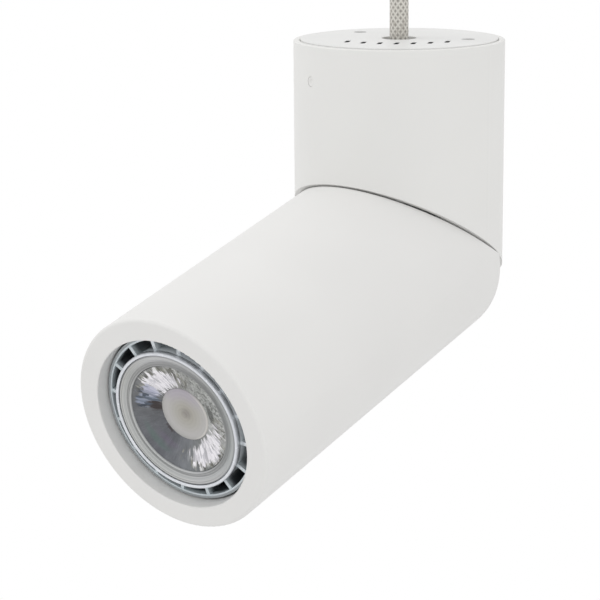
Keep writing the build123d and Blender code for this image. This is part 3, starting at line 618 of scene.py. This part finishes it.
rim = lathe(
    "lamp_rolled_rim",
    [(20.2, RIM + 1.7), (20.2, RIM + 0.5)] + arc(20.7, RIM + 0.5, 0.5, 180, 360, 12)
    + [(21.2, RIM + 1.7)],
    rim_metal(), "lamp")
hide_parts("lamp_bezel")

steps = lathe(
    "lens_stepped_edge",
    [(20.1, RIM + 0.5), (19.5, RIM + 0.42), (18.9, RIM + 0.5), (18.7, RIM + 0.9), (18.1, RIM + 0.95),
     (17.95, RIM + 1.3), (17.3, RIM + 1.35), (17.15, RIM + 0.95), (16.7, RIM + 1.0), (16.5, RIM + 1.6),
     (16.25, RIM + 2.6), (20.1, RIM + 3.1)],
    lens_steps_look(), "lamp")


def facets():
    """The funnel between the stepped edge and the eye, cut into small prisms."""
    random.seed(7)
    bm = bmesh.new()
    around = 88
    rows = [(16.4, 1.5), (15.1, 1.8), (13.7, 2.3), (12.3, 2.9), (10.9, 3.5), (9.5, 4.1), (8.1, 4.6)]
    last = len(rows) - 1
    grid = []
    for k, (r, z) in enumerate(rows):
        ring = []
        for i in range(around):
            a = 2 * math.pi * (i + 0.5 * (k % 2)) / around
            lift = random.uniform(-0.13, 0.13) if 0 < k < last else 0.0
            rr = r + (random.uniform(-0.25, 0.25) if 0 < k < last else 0.0)
            ring.append(bm.verts.new(
                (rr * MM * math.cos(a), rr * MM * math.sin(a), (RIM + z + lift) * MM)))
        grid.append(ring)
    for k in range(last):
        a, b = grid[k], grid[k + 1]
        for i in range(around):
            j = (i + 1) % around
            if k % 2 == 0:
                bm.faces.new((a[i], a[j], b[i]))
                bm.faces.new((a[j], b[j], b[i]))
            else:
                bm.faces.new((a[i], b[j], b[i]))
                bm.faces.new((a[i], a[j], b[j]))
    return finish_mesh(bm, "lens_prisms", facet_look(), "lamp", LOWER, smooth=False)


prisms = facets()
eye = lathe(
    "lens_frosted_eye",
    [(0, EYE - 0.25), (3.0, EYE - 0.22), (6.0, EYE - 0.12), (7.7, EYE), (8.05, EYE + 0.15),
     (8.1, EYE + 1.9), (0, EYE + 1.9)],
    eye_look(), "lamp", closed=False)
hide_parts("lamp_lens")

# ------------------------------------------------------------------ set screws under the coat
def on_side(bearing, radius, z):
    """A place on the upper can whose z axis points straight out."""
    out = Vector((math.cos(math.radians(bearing)), math.sin(math.radians(bearing)), 0))
    turn = out.to_track_quat("Z", "Y").to_matrix().to_4x4()
    return Matrix.Translation(out * radius * MM + Vector((0, 0, z * MM))) @ turn


screws = lathe(
    "painted_set_screws",
    [(0, -4.4), (1.42, -4.4), (1.5, -4.3), (1.5, -0.12), (1.42, -0.02), (1.25, 0.0), (0.95, -0.03),
     (0.8, -0.12), (0.68, -0.24), (0.4, -0.30), (0, -0.31)],
    M["upper"], "turning_head", Matrix.Identity(4), 48, closed=False,
    copies=[on_side(SCREW_BEARING, SCREW_HEAD, SCREW_DEPTH),
            on_side(SCREW_BEARING + 180, SCREW_HEAD, SCREW_DEPTH)])
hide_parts("set_screws")

# ------------------------------------------------------------------ flexible leads
def lead_curve(name, corners, radius, round_steps, long_steps):
    """A NURBS lead through its route's corners, with capped ends."""
    curve = bpy.data.curves.new(name, "CURVE")
    curve.dimensions = "3D"
    spline = curve.splines.new("NURBS")
    spline.points.add(len(corners) - 1)
    for p, co in zip(spline.points, corners):
        p.co = (*co, 1)
    spline.order_u = 3
    spline.use_endpoint_u = True
    curve.bevel_depth = radius
    curve.bevel_resolution = round_steps
    curve.resolution_u = long_steps
    curve.use_fill_caps = True
    ob = bpy.data.objects.new(name, curve)
    bpy.context.scene.collection.objects.link(ob)
    return ob


# past the tilting bolt, from the wiring cover to the rear cap
PIN = Vector(BOLT) * MM
DOWN = Vector((0, 0, -1))
ALONG = Vector((0, -AXIS_Y, -AXIS_Z))
CORNERS = [PIN - DOWN * 0.0433, PIN - DOWN * 0.020, PIN - DOWN * 0.0075, PIN - DOWN * 0.0026, PIN,
           PIN + ALONG * 0.0026, PIN + ALONG * 0.0075, PIN + ALONG * 0.0120]
route_ob = lead_curve("link_lead_route", CORNERS, LINK_R * MM, 6, 12)
bpy.context.view_layer.update()
link_mesh = bpy.data.meshes.new_from_object(route_ob)
bpy.data.objects.remove(route_ob)
for poly in link_mesh.polygons:
    poly.use_smooth = True
link_mesh.materials.clear()
link_mesh.materials.append(M["lead_rubber"])
link = bpy.data.objects.new("link_lead", link_mesh)
bpy.context.scene.collection.objects.link(link)
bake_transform(link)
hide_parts("link_lead_upper", "link_lead_lower")

# supply lead, up from the plate's stem
ROUTE = [(0, 0, SLEEVE_FOOT), (0, 0, 0.028), (0, 0, 0.068), (0, 0, SLEEVE_TOP)]
lead_ob = lead_curve("supply_lead_sleeve", ROUTE, SLEEVE_R * MM, 12, 24)
lead_ob.data.materials.append(M["sleeve"])
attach(lead_ob, "ceiling_mount")
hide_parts("supply_lead")

# ------------------------------------------------------------------ camera
cam = bpy.data.cameras.new("camera")
cam.sensor_width = SENSOR
cam.lens = SENSOR * FOCAL / PICTURE
cam_ob = bpy.data.objects.new("camera", cam)
bpy.context.scene.collection.objects.link(cam_ob)
view = Matrix((
    (0.806887, -0.127368, 0.576811),
    (0.590651, 0.187354, -0.784876),
    (-0.0081, 0.974, 0.226403)))
cam_ob.matrix_world = Matrix.Translation((0.362076, -0.5452265, 0.069484)) @ view.to_4x4()
bpy.context.scene.camera = cam_ob

# ------------------------------------------------------------------ studio
def seen_rays(nt):
    """1 for rays from the camera, a reflection or glass."""
    path = nt.nodes.new("ShaderNodeLightPath")
    first = nt.nodes.new("ShaderNodeMath")
    first.operation = "MAXIMUM"
    nt.links.new(path.outputs["Is Camera Ray"], first.inputs[0])
    nt.links.new(path.outputs["Is Glossy Ray"], first.inputs[1])
    seen = nt.nodes.new("ShaderNodeMath")
    seen.operation = "MAXIMUM"
    nt.links.new(first.outputs[0], seen.inputs[0])
    nt.links.new(path.outputs["Is Transmission Ray"], seen.inputs[1])
    return seen.outputs[0]


def backdrop_look(name, tone):
    """White to the camera, a reflection or glass, pale paint otherwise, and clear from below."""
    mat = bpy.data.materials.new(name)
    mat.use_nodes = True
    nt = mat.node_tree
    shader = nt.nodes["Principled BSDF"]
    shader.inputs["Base Color"].default_value = (*tone, 1)
    shader.inputs["Roughness"].default_value = 0.9
    out = nt.nodes["Material Output"]
    glow = nt.nodes.new("ShaderNodeEmission")
    glow.inputs["Color"].default_value = (1, 1, 1, 1)
    glow.inputs["Strength"].default_value = 1.0
    mix = nt.nodes.new("ShaderNodeMixShader")
    nt.links.new(seen_rays(nt), mix.inputs[0])
    nt.links.new(shader.outputs[0], mix.inputs[1])
    nt.links.new(glow.outputs[0], mix.inputs[2])
    under = nt.nodes.new("ShaderNodeNewGeometry")
    clear = nt.nodes.new("ShaderNodeBsdfTransparent")
    sides = nt.nodes.new("ShaderNodeMixShader")
    nt.links.new(under.outputs["Backfacing"], sides.inputs[0])
    nt.links.new(mix.outputs[0], sides.inputs[1])
    nt.links.new(clear.outputs[0], sides.inputs[2])
    nt.links.new(sides.outputs[0], out.inputs[0])
    return mat


bm = bmesh.new()
for x, y in ((-3, -3), (3, -3), (3, 3), (-3, 3)):
    bm.verts.new((x, y, FLOOR))
bm.faces.new(bm.verts)
me = bpy.data.meshes.new("floor")
bm.to_mesh(me)
bm.free()
me.materials.append(backdrop_look("floor_paint", (0.82, 0.82, 0.82)))
floor = bpy.data.objects.new("floor", me)
bpy.context.scene.collection.objects.link(floor)

world = bpy.data.worlds.new("studio")
bpy.context.scene.world = world
world.use_nodes = True
wn = world.node_tree
bg = wn.nodes["Background"]
tc = wn.nodes.new("ShaderNodeTexCoord")
sep = wn.nodes.new("ShaderNodeSeparateXYZ")
rng = wn.nodes.new("ShaderNodeMapRange")
rng.inputs["From Min"].default_value = -1.0
rng.inputs["From Max"].default_value = 1.0
rng.inputs["To Min"].default_value = 0.70
rng.inputs["To Max"].default_value = 1.0
wn.links.new(tc.outputs["Generated"], sep.inputs[0])
wn.links.new(sep.outputs["Z"], rng.inputs["Value"])
level = wn.nodes.new("ShaderNodeMix")
level.data_type = "FLOAT"
wn.links.new(seen_rays(wn), level.inputs[0])
wn.links.new(rng.outputs["Result"], level.inputs[2])
level.inputs[3].default_value = 1.0
wn.links.new(level.outputs[0], bg.inputs["Strength"])
bg.inputs["Color"].default_value = (1, 1, 1, 1)


def area(name, place, aim, size, power):
    """A square lamp that faces its aim."""
    data = bpy.data.lights.new(name, "AREA")
    data.shape = "SQUARE"
    data.size = size
    data.energy = power
    ob = bpy.data.objects.new(name, data)
    bpy.context.scene.collection.objects.link(ob)
    ob.location = place
    ob.rotation_euler = (Vector(aim) - Vector(place)).to_track_quat("-Z", "Y").to_euler()


area("light_above_left", (-0.9, -0.5, 0.9), (0, -0.05, -0.06), 0.9, 3.0)
area("light_right", (1.1, -0.75, 0.25), (0, -0.03, -0.04), 0.8, 1.6)

bpy.context.scene.view_settings.view_transform = "Standard"
